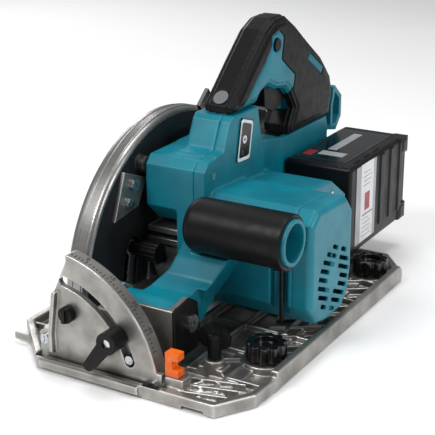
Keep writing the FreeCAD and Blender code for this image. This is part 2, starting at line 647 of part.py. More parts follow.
def dust_nozzle():
    """Outlet on the back of the blade case, flared to take a hose."""
    neck = rod_y(90, 140, NOZZLE_X, NOZZLE_Z, NOZZLE_R)
    flare = Part.makeCone(NOZZLE_R, 18, 20, V(NOZZLE_X, 140, NOZZLE_Z), Y_AXIS)
    mouth = rod_y(160, 182, NOZZLE_X, NOZZLE_Z, 18)
    outer = joined([neck, flare, mouth])
    bore = joined([rod_y(89, 141, NOZZLE_X, NOZZLE_Z, NOZZLE_R - 3),
                   Part.makeCone(NOZZLE_R - 3, 15.5, 20, V(NOZZLE_X, 140, NOZZLE_Z), Y_AXIS),
                   rod_y(160, 183, NOZZLE_X, NOZZLE_Z, 15.5)])
    inside = rod_x(CASE_LEFT, CASE_RIGHT, 0, ARBOR_Z, CASE_R)
    return outer.cut(bore).cut(inside)


CASE_SCREWS = ((-81.0, 141.0), (-89.0, 125.0))


def case_bracket():
    outline = [(-92, 155), (-57, 141), (-72, 117), (-110, 112)]
    plate = side_plate(CASE_RIGHT, CASE_RIGHT + 4, outline)
    for y, z in CASE_SCREWS:
        plate = plate.cut(rod_x(CASE_RIGHT - 1, CASE_RIGHT + 5, y, z, 2.6))
    return plate


def case_screws():
    solids = []
    for y, z in CASE_SCREWS:
        screw = rod_x(CASE_RIGHT + 4, CASE_RIGHT + 9, y, z, 5.2)
        screw = screw.fuse(rod_x(CASE_RIGHT, CASE_RIGHT + 5, y, z, 2.5))
        solids.append(screw.cut(hex_x(CASE_RIGHT + 6, CASE_RIGHT + 10, y, z, 5)))
    for degrees in (40, 100, 160):
        y, z = polar(0, ARBOR_Z, 50, degrees)
        solids.append(rod_x(GEAR_FLANGE, GEAR_FLANGE + 3, y, z, 4))
    return apart(solids)


GUARD_NEAR = CASE_RIGHT - CASE_WALL - GAP
GUARD_FAR = -10.4
GUARD_START = 176.0
GUARD_END = 364.0


def lower_guard():
    """Swinging guard: rim and two cheeks round the lower half of the blade, hung on the boss."""
    rim = arc_band_x(GUARD_FAR, GUARD_NEAR, 0, ARBOR_Z, GUARD_R - 4, GUARD_R, GUARD_START, GUARD_END)
    near = arc_band_x(GUARD_NEAR - GUARD_WALL, GUARD_NEAR, 0, ARBOR_Z, 35, GUARD_R - 1,
                      GUARD_START, GUARD_END)
    far = arc_band_x(GUARD_FAR, GUARD_FAR + GUARD_WALL, 0, ARBOR_Z, 96, GUARD_R - 1, GUARD_START, GUARD_END)
    hub = tube_x(GUARD_NEAR - GUARD_WALL, GUARD_NEAR, 0, ARBOR_Z, HUB_R + 10, HUB_R + 0.06)
    lug = arc_band_x(GUARD_NEAR - GUARD_WALL, GUARD_NEAR, 0, ARBOR_Z, 35, GUARD_LEVER_R,
                     GUARD_LEVER_ANGLE - 3, GUARD_START + 6)
    eye_y, eye_z = polar(0, ARBOR_Z, GUARD_LEVER_R, GUARD_LEVER_ANGLE)
    eye = rod_x(GUARD_NEAR - GUARD_WALL, GUARD_NEAR, eye_y, eye_z, HUB_LUG)
    return joined([rim, near, far, hub, lug, eye])


def guard_lever():
    """Post and ribbed knob for drawing the guard back by hand."""
    y, z = polar(0, ARBOR_Z, GUARD_LEVER_R, GUARD_LEVER_ANGLE)
    post = rod_x(GUARD_NEAR, 21, y, z, 6)
    knob = rod_x(20, 38, y, z, 10)
    for i in range(12):
        groove = rod_x(19, 39, *polar(y, z, 10.6, 30 * i), 1.4)
        knob = knob.cut(groove)
    return joined([post, knob])


def guard_spring():
    coils = []
    for i in range(2):
        coils.append(Part.makeTorus(HUB_R + 1.7, 0.45, V(6.7 + i, 0, ARBOR_Z), X_AXIS))
    return apart(coils)


# ---- gear case and pivot arm -----------------------------------------------------------------
GEAR_FLANGE = CASE_RIGHT + 3.5
SHAFT_LOCK_X = 26.0
SHAFT_LOCK_Z = 62.0


def gear_case():
    """Aluminium case of the reduction gear, with the boss that carries the lower guard."""
    boss = rod_x(CASE_RIGHT - 5, 14, 0, ARBOR_Z, HUB_R)
    drum = rod_x(CASE_RIGHT, GEAR_CASE_RIGHT, 0, ARBOR_Z, 31)
    motor_end = rod_x(CASE_RIGHT + 8, GEAR_CASE_RIGHT, MOTOR_Y, MOTOR_Z, 36)
    floor = box(0, 60, -100, 100, 8, 110)
    flange = rod_x(CASE_RIGHT, GEAR_FLANGE, 0, ARBOR_Z, 58)
    flange = flange.common(box(0, 60, -80, 80, CASE_FLOOR, ARBOR_Z + 72))
    bars = [box(14, GEAR_CASE_RIGHT, -60, MOTOR_Y, z, z + 6) for z in (78, 89)]
    lug = side_plate(LUG_LEFT, LUG_LEFT + LUG_T, [
        (20, 24), (CLAMP_Y - 4, CLAMP_Z - 9), (CLAMP_Y + 9, CLAMP_Z),
        (CLAMP_Y - 4, CLAMP_Z + 11), (20, 60)])
    case = joined([boss, drum.common(floor), motor_end, flange, lug] + bars)
    cuts = [
        rod_x(19, GEAR_CASE_RIGHT - 8, 0, ARBOR_Z, 27),
        rod_x(24, GEAR_CASE_RIGHT - 5.5, MOTOR_Y, MOTOR_Z, 10),
        rod_x(0, 60, 0, ARBOR_Z, SPINDLE_R + 1),
        rod_x(GEAR_CASE_RIGHT - 5, GEAR_CASE_RIGHT + 1, MOTOR_Y, MOTOR_Z, 11),
        rod_x(GEAR_CASE_RIGHT - 6, GEAR_CASE_RIGHT + 1, MOTOR_Y, MOTOR_Z, SHAFT_R + 1),
        rod_x(LUG_LEFT - 1, LUG_LEFT + LUG_T + 1, CLAMP_Y, CLAMP_Z, 3),
        rod_y(MOTOR_Y - 40, MOTOR_Y - 20, SHAFT_LOCK_X, SHAFT_LOCK_Z, 5 + GAP),
    ]
    cuts += [rod_x(x0, x1, 0, ARBOR_Z, r) for x0, x1, r in SPINDLE_BEARINGS]
    cuts.append(arc_slot_x(CASE_RIGHT - 1, CASE_RIGHT + 4, 0, ARBOR_Z, GUARD_LEVER_R, HUB_LUG + 2,
                           GUARD_LEVER_ANGLE, GUARD_LEVER_ANGLE + 40))
    for cut in cuts:
        case = case.cut(cut)
    return case


def shaft_lock_button():
    y = MOTOR_Y - 40
    return rod_y(y - 3, y + 8, SHAFT_LOCK_X, SHAFT_LOCK_Z, 5)


ARM_FOOT = 28.0


def pivot_arm():
    """Arm of the head: an eye on the pivot pin, sweeping up and outward to the side grip."""
    eye = rod_x(ARM_LEFT, ARM_RIGHT, PIVOT_Y, PIVOT_Z, 18)
    under_grip = GRIP_Z - GRIP_R - 3
    beside_grip = GRIP_LEFT - 5
    front = front_plate(-200, 0, [
        (ARM_LEFT + 3, ARM_FOOT), (ARM_RIGHT - 3, ARM_FOOT), (ARM_RIGHT, 50), (113, 70),
        (122, under_grip - 4),
        (122, under_grip), (beside_grip, under_grip), (beside_grip, 136), (beside_grip - 3, 138), (75, 100),
        (66, 76), (53, 58), (ARM_LEFT + 3, 50)])
    side = side_plate(0, 200, [
        (PIVOT_Y + 4, ARM_FOOT + 3), (-112, ARM_FOOT), (-98, 31), (BODY_FRONT, 62), (BODY_FRONT, 136),
        (-82, 136), (-92, 112), (-97, 88), (-106, 72), (-122, 64), (PIVOT_Y, PIVOT_Z + 17.5)])
    arm = joined([eye, front.common(side)])
    for x0, x1 in ((0, ARM_LEFT), (ARM_RIGHT, 200)):
        arm = arm.cut(rod_x(x0, x1, PIVOT_Y, PIVOT_Z, 33))
    return arm.cut(rod_x(0, 200, PIVOT_Y, PIVOT_Z, PIVOT_R + RUN))


# ---- body ------------------------------------------------------------------------------------
BODY_FRONT = -66.0
MOTOR_OUTLINE = [(BODY_FRONT, 46), (-52, 28), (-34, 23.5), (0, 24), (14, 36), (20, 60), (20, 118), (6, 134),
                 (-52, 137), (BODY_FRONT, 126)]
HOUSING_BLOCKS = (
    # x0, x1, outline in (y, z)
    (BODY_LEFT, NECK_RIGHT, [(BODY_FRONT, 118), (BODY_FRONT, 158), (-58, 166), (34, 168), (46, 150),
                             (46, 100), (-48, 100)]),
    (NECK_TOP_LEFT, NECK_RIGHT, [(-50, 160), (-44, 168), (-30, 169), (-18, 194), (-13, NECK_TOP),
                                 (34, NECK_TOP), (40, 170), (42, 160)]),
    (GEAR_CASE_RIGHT + 3, MOTOR_RIGHT, MOTOR_OUTLINE),
    (SEAM_X - 8, 150.0, [(10, 60), (70, 60), (92, 72), (92, 104), (60, 126), (10, 130)]),
    (REAR_LEFT, REAR_RIGHT, [(38, REAR_FLOOR), (REAR_END, REAR_FLOOR), (REAR_END, REAR_TOP - 12),
                             (REAR_END - 3, REAR_TOP), (100, REAR_TOP), (38, REAR_TOP + 12)]),
)


def housing():
    """Both plastic halves: one shell, hollow inside, that is parted at the seam."""
    outer = joined([side_plate(x0, x1, outline) for x0, x1, outline in HOUSING_BLOCKS])
    hollow = [side_plate(x0 + BODY_WALL, x1 - BODY_WALL, outline, BODY_WALL)
              for x0, x1, outline in HOUSING_BLOCKS]
    inner = joined(hollow)
    inner = inner.fuse(rod_x(STATOR_X0 - 2, MOTOR_RIGHT + 1, MOTOR_Y, MOTOR_Z, STATOR_R + 0.3))
    shell = outer.cut(inner)
    shell = shell.cut(rod_x(GEAR_CASE_RIGHT, GEAR_CASE_RIGHT + 8, MOTOR_Y, MOTOR_Z, 25))
    shell = shell.cut(rod_x(0, GEAR_CASE_RIGHT + 0.5, MOTOR_Y, MOTOR_Z, 36.5))
    niche = box(150, MOTOR_RIGHT - 4, BODY_FRONT - 1, BODY_FRONT + 9, 24, 84)
    nest = box(147, MOTOR_RIGHT - 1, BODY_FRONT, BODY_FRONT + 12, 22, 87).common(outer)
    shell = shell.fuse(nest).cut(niche)
    return shell.cut(rod_x(60, 170, MOTOR_Y, MOTOR_Z, STATOR_R + 0.3))


def half(shape, left, seam):
    limits = (-300, seam) if left else (seam, 400)
    return shape.common(box(*limits, -400, 400, -200, 500))


VENT_ROWS = 8
VENT_PITCH = 8.0
VENT_W = 3.8
VENT_R = 32.0
VENT_HUB = 13.0
VENT_GAP = 4.0
VENT_TILT = -24.0


def motor_end_cover():
    """Vented cap over the fan end, with a cup for the rear bearing."""
    outline = MOTOR_OUTLINE
    cap = side_plate(MOTOR_RIGHT, COVER_RIGHT, outline)
    cap = rounded(cap, 6, lambda edge: edge.BoundBox.XMin > COVER_RIGHT - 0.1)
    cap = cap.cut(side_plate(MOTOR_RIGHT - 1, COVER_RIGHT - BODY_WALL, outline, BODY_WALL))
    vents = []
    for side in (-1, 1):
        for row in range(VENT_ROWS):
            lift = (row - (VENT_ROWS - 1) / 2) * VENT_PITCH
            reach = math.sqrt(VENT_R ** 2 - lift ** 2)
            near = max(VENT_GAP, math.sqrt(max(0.0, VENT_HUB ** 2 - lift ** 2)))
            y0, y1 = sorted((MOTOR_Y + side * near, MOTOR_Y + side * reach))
            z0 = MOTOR_Z + lift
            vents.append(box(COVER_RIGHT - 8, COVER_RIGHT + 1, y0, y1, z0, z0 + VENT_W))
    slots = joined(vents)
    slots.rotate(V(COVER_RIGHT, MOTOR_Y, MOTOR_Z), X_AXIS, VENT_TILT)
    cap = cap.cut(slots)
    cup = tube_x(REAR_BEARING_X, COVER_RIGHT - 2, MOTOR_Y, MOTOR_Z, 13, 9.5)
    spokes = box(MOTOR_RIGHT, COVER_RIGHT - 2, MOTOR_Y - 1.5, MOTOR_Y + 1.5, 27, 120)
    spokes = spokes.cut(rod_x(REAR_BEARING_X - 1, COVER_RIGHT, MOTOR_Y, MOTOR_Z, 10))
    return joined([cap, cup, spokes])


def hex_wrench():
    x, y = 161.0, BODY_FRONT + 3
    long_leg = rod_z(30, 80, x, y, 2.4)
    short_leg = rod_x(x - 8, x, y, 80, 2.4)
    corner = Part.makeSphere(2.4, V(x, y, 80))
    return joined([long_leg, short_leg, corner])


# ---- front grip ------------------------------------------------------------------------------
def grip_core():
    tube = rod_x(GRIP_LEFT, GRIP_RIGHT, GRIP_Y, GRIP_Z, GRIP_R - 4)
    tube = tube.cut(rod_x(GRIP_RIGHT - 60, GRIP_RIGHT + 1, GRIP_Y, GRIP_Z, GRIP_R - 8))
    neck = box(GRIP_LEFT + 6, GRIP_LEFT + 56, GRIP_Y + 10, BODY_FRONT, GRIP_Z - 16, GRIP_Z + 12)
    neck = neck.cut(rod_x(GRIP_LEFT, GRIP_RIGHT, GRIP_Y, GRIP_Z, GRIP_R - 5))
    return joined([tube, neck])


def grip_rubber():
    sleeve = rod_x(GRIP_LEFT - 4, GRIP_RIGHT - 3, GRIP_Y, GRIP_Z, GRIP_R)
    sleeve = rounded(sleeve, 9, lambda edge: edge.BoundBox.XMax < GRIP_LEFT)
    sleeve = sleeve.cut(rod_x(GRIP_LEFT, GRIP_RIGHT, GRIP_Y, GRIP_Z, GRIP_R - 4))
    return sleeve.cut(box(GRIP_LEFT + 6, GRIP_LEFT + 56, GRIP_Y, 0, GRIP_Z - 16, GRIP_Z + 12))


# ---- main handle -----------------------------------------------------------------------------
ARCH_OUTER = [(-11, NECK_TOP), (-11, 206), (30, 243), (58, 267), (76, 275), (97, 276), (120, 262),
              (150, 240),
              (180, 219), (202, 196), (208, 178), (204, 160), (201, REAR_TOP)]
ARCH_INNER = [(106, REAR_TOP), (106, 160), (116, 177), (105, 193), (96, 201), (76, 204), (60, 211),
              (46, 206),
              (38, NECK_TOP)]
ARCH = ARCH_OUTER + ARCH_INNER
HANDLE_ROUND = 8.0
ROUNDING_STEPS = (0.0, 1.2, 3.5, 8.0)
HANDLE_LEFT = HANDLE_X - HANDLE_W / 2
HANDLE_RIGHT = HANDLE_X + HANDLE_W / 2
TRIGGER_PIVOT = (78.0, 216.0)
HANDLE_SCREWS = ((20.0, 214.0), (96.0, 257.0), (150.0, 196.0))
LOCK_OFF = (75.0, 250.0)
TEAL_ZONES = (
    [(-20, NECK_TOP - 5), (-20, NECK_TOP + 1), (2, NECK_TOP + 1), (12, 202), (35, 222), (55, 238),
     (66, 250),
     (66, 260), (80, 264), (90, 256), (86, 234), (101, 223), (115, 213), (113, 203), (106, 193), (30, 170)],
    [(143, 223), (150, 228), (180, 208), (176, 201)],
)


def handle_solid(inset):
    """Arch of the handle, built of plates that narrow toward its rounded edges."""
    half_width = HANDLE_W / 2 - inset
    layers = []
    for edge in ROUNDING_STEPS:
        shy = HANDLE_ROUND - math.sqrt(edge * (2 * HANDLE_ROUND - edge))
        width = half_width - edge
        layers.append(side_plate(HANDLE_X - width, HANDLE_X + width, ARCH, inset + shy))
    return joined(layers)


def handle_cuts():
    pocket = box(HANDLE_X - 8.6, HANDLE_X + 8.6, 61, 120, 174, 232)
    lock = rod_x(HANDLE_X + 6, HANDLE_RIGHT + 1, *LOCK_OFF, 6 + GAP)
    return pocket, lock


def handle_zones():
    return joined([side_plate(HANDLE_LEFT - 1, HANDLE_RIGHT + 1, zone) for zone in TEAL_ZONES])


def handle_shell():
    """Hard arch: sunk under the soft skin, and flush with it in the bare zones."""
    pocket, lock = handle_cuts()
    core = handle_solid(SKIN_T)
    bare = handle_solid(0).common(handle_zones())
    return joined([core, bare]).cut(pocket).cut(lock)


def handle_rubber():
    pocket, lock = handle_cuts()
    skin = handle_solid(0).cut(handle_solid(SKIN_T)).cut(handle_zones())
    return skin.cut(pocket).cut(lock)


def trigger():
    outline = [
        (66, 210), (72, 217), (84, 217), (104, 209), (113, 203), (110, 190), (98, 182), (84, 180),
        (68, 188)]
    blade_ = side_plate(HANDLE_X - 8, HANDLE_X + 8, outline)
    eye = rod_x(HANDLE_X - 8, HANDLE_X + 8, *TRIGGER_PIVOT, 4)
    return joined([blade_, eye]).cut(rod_x(0, 200, *TRIGGER_PIVOT, 1.5 + RUN))


def switch_block():
    """Switch body over the trigger, with the pin that the trigger turns on."""
    body = box(HANDLE_X - 7, HANDLE_X + 7, 92, 118, 222, 231)
    pin = rod_x(HANDLE_X - 8.6, HANDLE_X + 8.6, *TRIGGER_PIVOT, 1.5)
    return apart([body, pin])


def lock_off_button():
    return rod_x(HANDLE_X + 9, HANDLE_RIGHT + 1.5, *LOCK_OFF, 6)


def strap_hook():
    ring = side_plate(62, 78, [(205.5, 132), (219, 129), (232, 142), (232, 166), (215, 180), (210, 179),
                               (209.5, 170), (205.5, 158)])
    hole = side_plate(60, 90, [(210, 138), (217.5, 136), (226.5, 145), (226.5, 163), (215, 173), (214, 168),
                               (210, 157)])
    ring = ring.cut(hole)
    root = box(64, REAR_RIGHT, REAR_END, 207, 133, 137)
    return joined([ring, root])


PANEL_T = 1.6


def indicator_panel():
    outline = [(-9, 154), (1, 194), (22, 188), (13, 151)]
    return side_plate(NECK_RIGHT, NECK_RIGHT + PANEL_T, outline)


# ---- battery ---------------------------------------------------------------------------------
RAIL_Z = 108.0


def battery_terminal():
    """Rail on the side of the body that the battery slides onto."""
    neck = box(REAR_RIGHT, REAR_RIGHT + 3.5, BATTERY_FRONT + 4, BATTERY_FRONT + 64, RAIL_Z - 4, RAIL_Z + 4)
    head = box(REAR_RIGHT + 3.5, REAR_RIGHT + 7, BATTERY_FRONT + 4, BATTERY_FRONT + 64,
               RAIL_Z - 8, RAIL_Z + 8)
    return joined([neck, head])


def battery():
    x1 = BATTERY_LEFT + BATTERY_W
    y1 = BATTERY_FRONT + BATTERY_L
    z1 = BATTERY_BOTTOM + BATTERY_H
    pack = box(BATTERY_LEFT, x1, BATTERY_FRONT, y1, BATTERY_BOTTOM, z1)
    pack = rounded(pack, 4, lambda edge: True)
    neck = box(BATTERY_LEFT - 1, REAR_RIGHT + 4, BATTERY_FRONT - 1, BATTERY_FRONT + 66,
               RAIL_Z - 4 - GAP, RAIL_Z + 4 + GAP)
    head = box(REAR_RIGHT + 3.5 - GAP, REAR_RIGHT + 7 + GAP, BATTERY_FRONT - 1, BATTERY_FRONT + 66,
               RAIL_Z - 8 - GAP, RAIL_Z + 8 + GAP)
    pocket = box(99, 129, y1 - 7, y1 + 1, 94, 115)
    return pack.cut(neck).cut(head).cut(pocket)


def battery_button():
    y1 = BATTERY_FRONT + BATTERY_L
    return box(100, 128, y1 - 6.5, y1 - 0.5, 99, 114.4)


# ---- screws of the body ----------------------------------------------------------------------
BODY_SCREWS = ((-50.0, 151.0, NECK_RIGHT), (60.0, 112.0, 150.0))
BOLT_SEAT = 8.0


def housing_screws():
    """Dark screws sunk in the plastic, and the big bolt through the foot of the handle."""
    solids = []
    for y, z in HANDLE_SCREWS:
        solids.append(rod_x(HANDLE_X + 4, HANDLE_RIGHT - SKIN_T - 1, y, z, 3.6))
    for y, z, x in BODY_SCREWS:
        solids.append(rod_x(x - 2, x + 0.5, y, z, 3.6))
    lean = V(0, -0.669, 0.743)
    foot = V(HANDLE_X, -3.6, 212.8) - lean * BOLT_SEAT
    bolt = Part.makeCylinder(7.5, BOLT_SEAT, foot, lean)
    solids.append(bolt.fuse(Part.makeCylinder(3, 14, foot, lean * -1)))
    return apart(solids)


def controller():
    return box(REAR_LEFT + 8, REAR_RIGHT - 8, 60, 130, REAR_FLOOR + 8, REAR_FLOOR + 40)


# ---- assembly --------------------------------------------------------------------------------
def build():
    shell = housing()
    arch = handle_shell()
    skin = handle_rubber()
    screws = housing_screws()
    holes = joined(list(screws.Solids))
    return {
        "base_plate": base_plate(),
        "front_quadrant": front_quadrant(),
        "rear_quadrant": rear_quadrant(),
        "quadrant_screws": quadrant_screws(),
        "positive_stopper": positive_stopper(),
        "slide_lever": slide_lever(),
        "front_rail_knob": rail_knob(KNOB_FRONT_Y),
        "rear_rail_knob": rail_knob(KNOB_REAR_Y),
        "fence_bolt": fence_bolt(),
        "front_bracket": front_bracket(),
        "rear_bracket": rear_bracket(),
        "depth_guide": depth_guide(),
        "bevel_studs": bevel_studs(),
        "pivot_pin": pivot_pin(),
        "guide_screws": guide_screws(),
        "front_bevel_lever": front_bevel_lever(),
        "rear_bevel_lever": rear_bevel_lever(),
        "depth_lever": depth_lever(),
        "depth_clamp_bolt": depth_clamp_bolt(),
        "blade": blade(),
        "blade_flanges": blade_flanges(),
        "blade_bolt": blade_bolt(),
        "spindle": spindle(),
        "drive_gear": drive_gear(),
        "rotor": rotor(),
        "fan": fan(),
        "stator": stator(),
        "bearings": bearings(),
        "blade_case": blade_case(),
        "dust_nozzle": dust_nozzle(),
        "case_bracket": case_bracket(),
        "case_screws": case_screws(),
        "lower_guard": lower_guard(),
        "guard_lever": guard_lever(),
        "guard_spring": guard_spring(),
        "gear_case": gear_case(),
        "shaft_lock_button": shaft_lock_button(),
        "pivot_arm": pivot_arm(),
        "housing_left": half(shell, True, SEAM_X).cut(holes),
        "housing_right": half(shell, False, SEAM_X).cut(holes),
        "motor_end_cover": motor_end_cover(),
        "hex_wrench": hex_wrench(),
        "grip_core": grip_core(),
        "grip_rubber": grip_rubber(),
        "handle_left": half(arch, True, HANDLE_X).cut(holes),
        "handle_right": half(arch, False, HANDLE_X).cut(holes),
        "handle_rubber": skin.cut(holes),
        "trigger": trigger(),
        "switch_block": switch_block(),
        "lock_off_button": lock_off_button(),
        "strap_hook": strap_hook(),
        "indicator_panel": indicator_panel(),
        "battery_terminal": battery_terminal(),
        "battery": battery(),
        "battery_button": battery_button(),
        "housing_screws": screws,
        "controller": controller(),
    }


os.makedirs("parts", exist_ok=True)
for name, shape in build().items():
    shape = shape.copy()
    shape.translate(DATUM)
    if not shape.isValid():
        print("not valid:", name)
    shape.exportStep("parts/" + name + ".step")
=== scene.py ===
"""Cordless circular saw: the looks of every piece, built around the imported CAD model."""
import math

import bmesh
import bpy
from mathutils import Euler, Matrix, Vector


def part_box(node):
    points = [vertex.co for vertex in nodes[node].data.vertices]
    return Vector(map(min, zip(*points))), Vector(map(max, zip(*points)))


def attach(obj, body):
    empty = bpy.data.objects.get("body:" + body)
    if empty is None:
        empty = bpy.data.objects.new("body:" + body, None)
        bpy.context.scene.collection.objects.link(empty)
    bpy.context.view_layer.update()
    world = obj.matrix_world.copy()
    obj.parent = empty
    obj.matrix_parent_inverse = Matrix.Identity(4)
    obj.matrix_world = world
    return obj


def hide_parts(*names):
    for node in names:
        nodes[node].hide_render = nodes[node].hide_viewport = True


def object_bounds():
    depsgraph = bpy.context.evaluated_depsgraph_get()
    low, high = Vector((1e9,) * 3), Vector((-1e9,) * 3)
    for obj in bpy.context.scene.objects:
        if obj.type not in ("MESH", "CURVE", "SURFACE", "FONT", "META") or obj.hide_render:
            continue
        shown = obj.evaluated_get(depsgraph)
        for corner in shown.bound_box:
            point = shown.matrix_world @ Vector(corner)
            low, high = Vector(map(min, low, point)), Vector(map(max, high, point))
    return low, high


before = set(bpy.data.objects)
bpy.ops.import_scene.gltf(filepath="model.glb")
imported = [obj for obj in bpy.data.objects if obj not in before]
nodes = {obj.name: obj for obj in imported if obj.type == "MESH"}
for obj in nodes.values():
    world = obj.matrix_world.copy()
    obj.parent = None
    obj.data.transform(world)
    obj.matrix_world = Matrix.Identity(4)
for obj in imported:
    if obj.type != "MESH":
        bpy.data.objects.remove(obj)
cad_box = [list(corner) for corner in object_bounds()]
MM = 0.001


# ---- camera, floor and studio light ------------------------------------------------------------
# The camera looks down on the front right corner from a metre away. The floor is level with the
# sole, as a bench with a cut for the blade would be, and large soft lamps stand round the saw.
def srgb(code):
    """An sRGB hex colour as the linear values that a shader takes."""
    parts = [int(code[i:i + 2], 16) / 255 for i in (1, 3, 5)]
    return [p / 12.92 if p <= 0.04045 else ((p + 0.055) / 1.055) ** 2.4 for p in parts] + [1.0]


def add(tree, kind, inputs=(), **settings):
    """Adds a shader node with its settings, and sets or links each of its inputs."""
    made = tree.nodes.new(kind)
    for name, value in settings.items():
        setattr(made, name, value)
    for name, value in dict(inputs).items():
        if isinstance(value, bpy.types.NodeSocket):
            tree.links.new(value, made.inputs[name])
        else:
            made.inputs[name].default_value = value
    return made


def surface(name, colours, patch, rough, grain, depth, metallic=0.0, **sockets):
    """A finish whose colour and gloss drift over patches, with a fine grain; lengths in mm."""
    made = bpy.data.materials.new(name)
    made.use_nodes = True
    tree = made.node_tree
    tree.nodes.clear()
    values = {"Metallic": metallic, "Roughness": rough[0]}
    values.update({key.replace("_", " "): value for key, value in sockets.items()})
    shader = add(tree, "ShaderNodeBsdfPrincipled", values)
    add(tree, "ShaderNodeOutputMaterial", {"Surface": shader.outputs["BSDF"]})
    place = add(tree, "ShaderNodeTexCoord").outputs["Object"]
    cloud = add(tree, "ShaderNodeTexNoise", {"Vector": place, "Scale": 1 / (patch * MM), "Detail": 5.0})
    share = add(tree, "ShaderNodeMapRange",
                {"Value": cloud.outputs["Fac"], "From Min": 0.35, "From Max": 0.65})
    tint = add(tree, "ShaderNodeMix", {0: share.outputs[0], 6: srgb(colours[0]), 7: srgb(colours[1])},
               data_type="RGBA")
    tree.links.new(tint.outputs[2], shader.inputs["Base Color"])
    gloss = add(tree, "ShaderNodeMapRange",
                {"Value": cloud.outputs["Fac"], "From Min": 0.3, "From Max": 0.7,
                 "To Min": rough[0], "To Max": rough[1]})
    tree.links.new(gloss.outputs[0], shader.inputs["Roughness"])
    pits = add(tree, "ShaderNodeTexNoise", {"Vector": place, "Scale": 1 / (grain * MM), "Detail": 3.0})
    bump = add(tree, "ShaderNodeBump",
               {"Height": pits.outputs["Fac"], "Distance": depth * MM, "Strength": 0.6})
    tree.links.new(bump.outputs["Normal"], shader.inputs["Normal"])
    return made, tree, shader, tint


CAMERA_PLACE = Vector((0.6038, -0.7260, 0.4796))
CAMERA_AZIMUTH = math.radians(31.0)
CAMERA_FALL = math.radians(20.1)
CAMERA_ROLL = math.radians(-0.4)
LENS = 95.7

view = bpy.data.cameras.new("studio_camera")
view.lens = LENS
view.sensor_width = 36.0
camera = bpy.data.objects.new("studio_camera", view)
bpy.context.scene.collection.objects.link(camera)
turn = Euler((math.pi / 2 - CAMERA_FALL, 0, CAMERA_AZIMUTH), "XYZ").to_matrix()
turn = turn @ Matrix.Rotation(CAMERA_ROLL, 3, "Z")
camera.matrix_world = Matrix.Translation(CAMERA_PLACE) @ turn.to_4x4()
bpy.context.scene.camera = camera

FLOOR_SIZE = 14.0
FLOOR_DROP = -0.0004
mesh = bpy.data.meshes.new("studio_floor")
shape = bmesh.new()
bmesh.ops.create_grid(shape, x_segments=1, y_segments=1, size=FLOOR_SIZE / 2)
bmesh.ops.translate(shape, vec=(0, 0, FLOOR_DROP), verts=shape.verts)
shape.to_mesh(mesh)
shape.free()
floor = bpy.data.objects.new("studio_floor", mesh)
bpy.context.scene.collection.objects.link(floor)
paper = surface("matt_paper_floor", ("#fbfbfb", "#fdfdfd"), 400, (0.85, 0.9), 3.0, 0.02)[0]
mesh.materials.append(paper)

world = bpy.data.worlds.new("studio_world")
world.use_nodes = True
world.node_tree.nodes["Background"].inputs["Color"].default_value = srgb("#fbfcff")
world.node_tree.nodes["Background"].inputs["Strength"].default_value = 0.3
bpy.context.scene.world = world
bpy.context.scene.view_settings.view_transform = "Standard"
SAW_MIDDLE = (Vector(cad_box[0]) + Vector(cad_box[1])) / 2
LAMPS = (
    ("key_lamp", (-0.5, -1.2, 1.6), 0.8, 22),
    ("side_lamp", (1.7, 0.0, 1.1), 0.7, 12),
    ("top_lamp", (0.1, 0.4, 1.9), 0.9, 15),
    ("back_lamp", (-1.5, 1.3, 1.0), 0.9, 9),
)
for name, place, size, power in LAMPS:
    lamp_data = bpy.data.lights.new(name, "AREA")
    lamp_data.size = size
    lamp_data.energy = power
    lamp = bpy.data.objects.new(name, lamp_data)
    bpy.context.scene.collection.objects.link(lamp)
    lamp.location = place
    lamp.rotation_euler = (SAW_MIDDLE - Vector(place)).to_track_quat("-Z", "Y").to_euler()


# ---- base plate --------------------------------------------------------------------------------
# A pressure die casting in aluminium, shot-blasted: it looks satin grey, with round-edged ribs
# and shallow pockets on top. The ribs, pads and front ledge below are part of the casting.
def brick(shape, low, high, turned=0.0):
    """Adds a block between two corners, given in mm in the part's frame, turned about its middle."""
    verts = bmesh.ops.create_cube(shape, size=1.0)["verts"]
    bmesh.ops.scale(shape, vec=[(h - l) * MM for l, h in zip(low, high)], verts=verts)
    spin = Matrix.Rotation(math.radians(turned), 3, "Z")
    bmesh.ops.rotate(shape, cent=(0, 0, 0), matrix=spin, verts=verts)
    bmesh.ops.translate(shape, vec=[(h + l) / 2 * MM for l, h in zip(low, high)], verts=verts)
    return verts


def drum(shape, centre, radius, depth, axis="Z", sides=48):
    """Adds a round bar, in mm, about a centre and along an axis."""
    verts = bmesh.ops.create_cone(shape, cap_ends=True, segments=sides, radius1=radius * MM,
                                  radius2=radius * MM, depth=depth * MM)["verts"]
    if axis == "X":
        bmesh.ops.rotate(shape, cent=(0, 0, 0), matrix=Matrix.Rotation(math.pi / 2, 3, "Y"), verts=verts)
    bmesh.ops.translate(shape, vec=[c * MM for c in centre], verts=verts)


def placed(name, mesh, materials, body, slot, *nodes_replaced):
    """Puts a finished mesh in the scene, on its body and with its materials; the slot argument is not used.
    """
    piece = bpy.data.objects.new(name, mesh)
    bpy.context.scene.collection.objects.link(piece)
    mesh.materials.clear()
    for material in materials:
        mesh.materials.append(material)
    if nodes_replaced:
        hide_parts(*nodes_replaced)
    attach(piece, body)
    return piece


